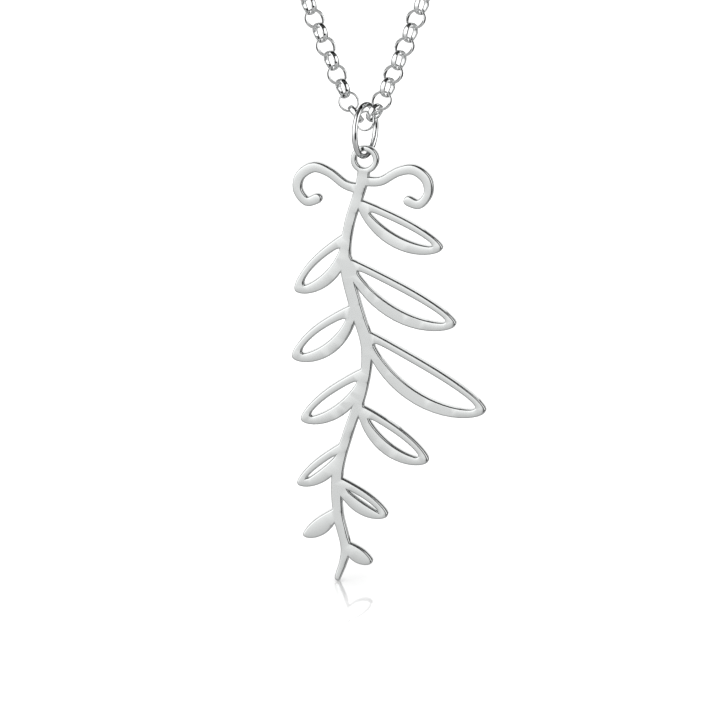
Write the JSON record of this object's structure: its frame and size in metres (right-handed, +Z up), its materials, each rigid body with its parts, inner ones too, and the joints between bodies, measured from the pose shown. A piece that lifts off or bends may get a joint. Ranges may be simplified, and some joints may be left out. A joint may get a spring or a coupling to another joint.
{
  "type": "nameplate necklace",
  "caption": "Silver necklace: a closed loop of fine rolo chain with a jump ring and a tall flat pierced pendant plate that hangs free, cut as a leafy branch.",
  "frame": {"origin": "where the inner side of the clasp rests on the nape of the neck", "axes": "+Z up, +X to the right seen from the front, the front faces -Y"},
  "size_m": [0.0928, 0.0991, 0.1758],
  "materials": {
    "polished_silver_chain": "polished sterling silver",
    "polished_silver_ring": "polished sterling silver",
    "polished_silver_plate": "polished sterling silver, a little duller than the chain, fine buffing marks"
  },
  "bodies": {
    "chain": {"chain_left": "polished_silver_chain", "chain_right": "polished_silver_chain", "clasp": "polished_silver_chain"},
    "ring": {"jump_ring": "polished_silver_ring"},
    "plate": {"name_plate": "polished_silver_plate"}
  },
  "joints": [
    {"name": "ring_swing", "type": "hinge", "parent": "chain", "child": "ring", "pos_m": [0, -0.0905, -0.1217], "axis": [0.9135, -0.4067, 0], "range_deg": [-60, 20]},
    {"name": "plate_swing", "type": "hinge", "parent": "ring", "child": "plate", "pos_m": [0, -0.0905, -0.12638], "axis": [0.4067, 0.9135, 0], "range_deg": [-60, 60]}
  ]
}
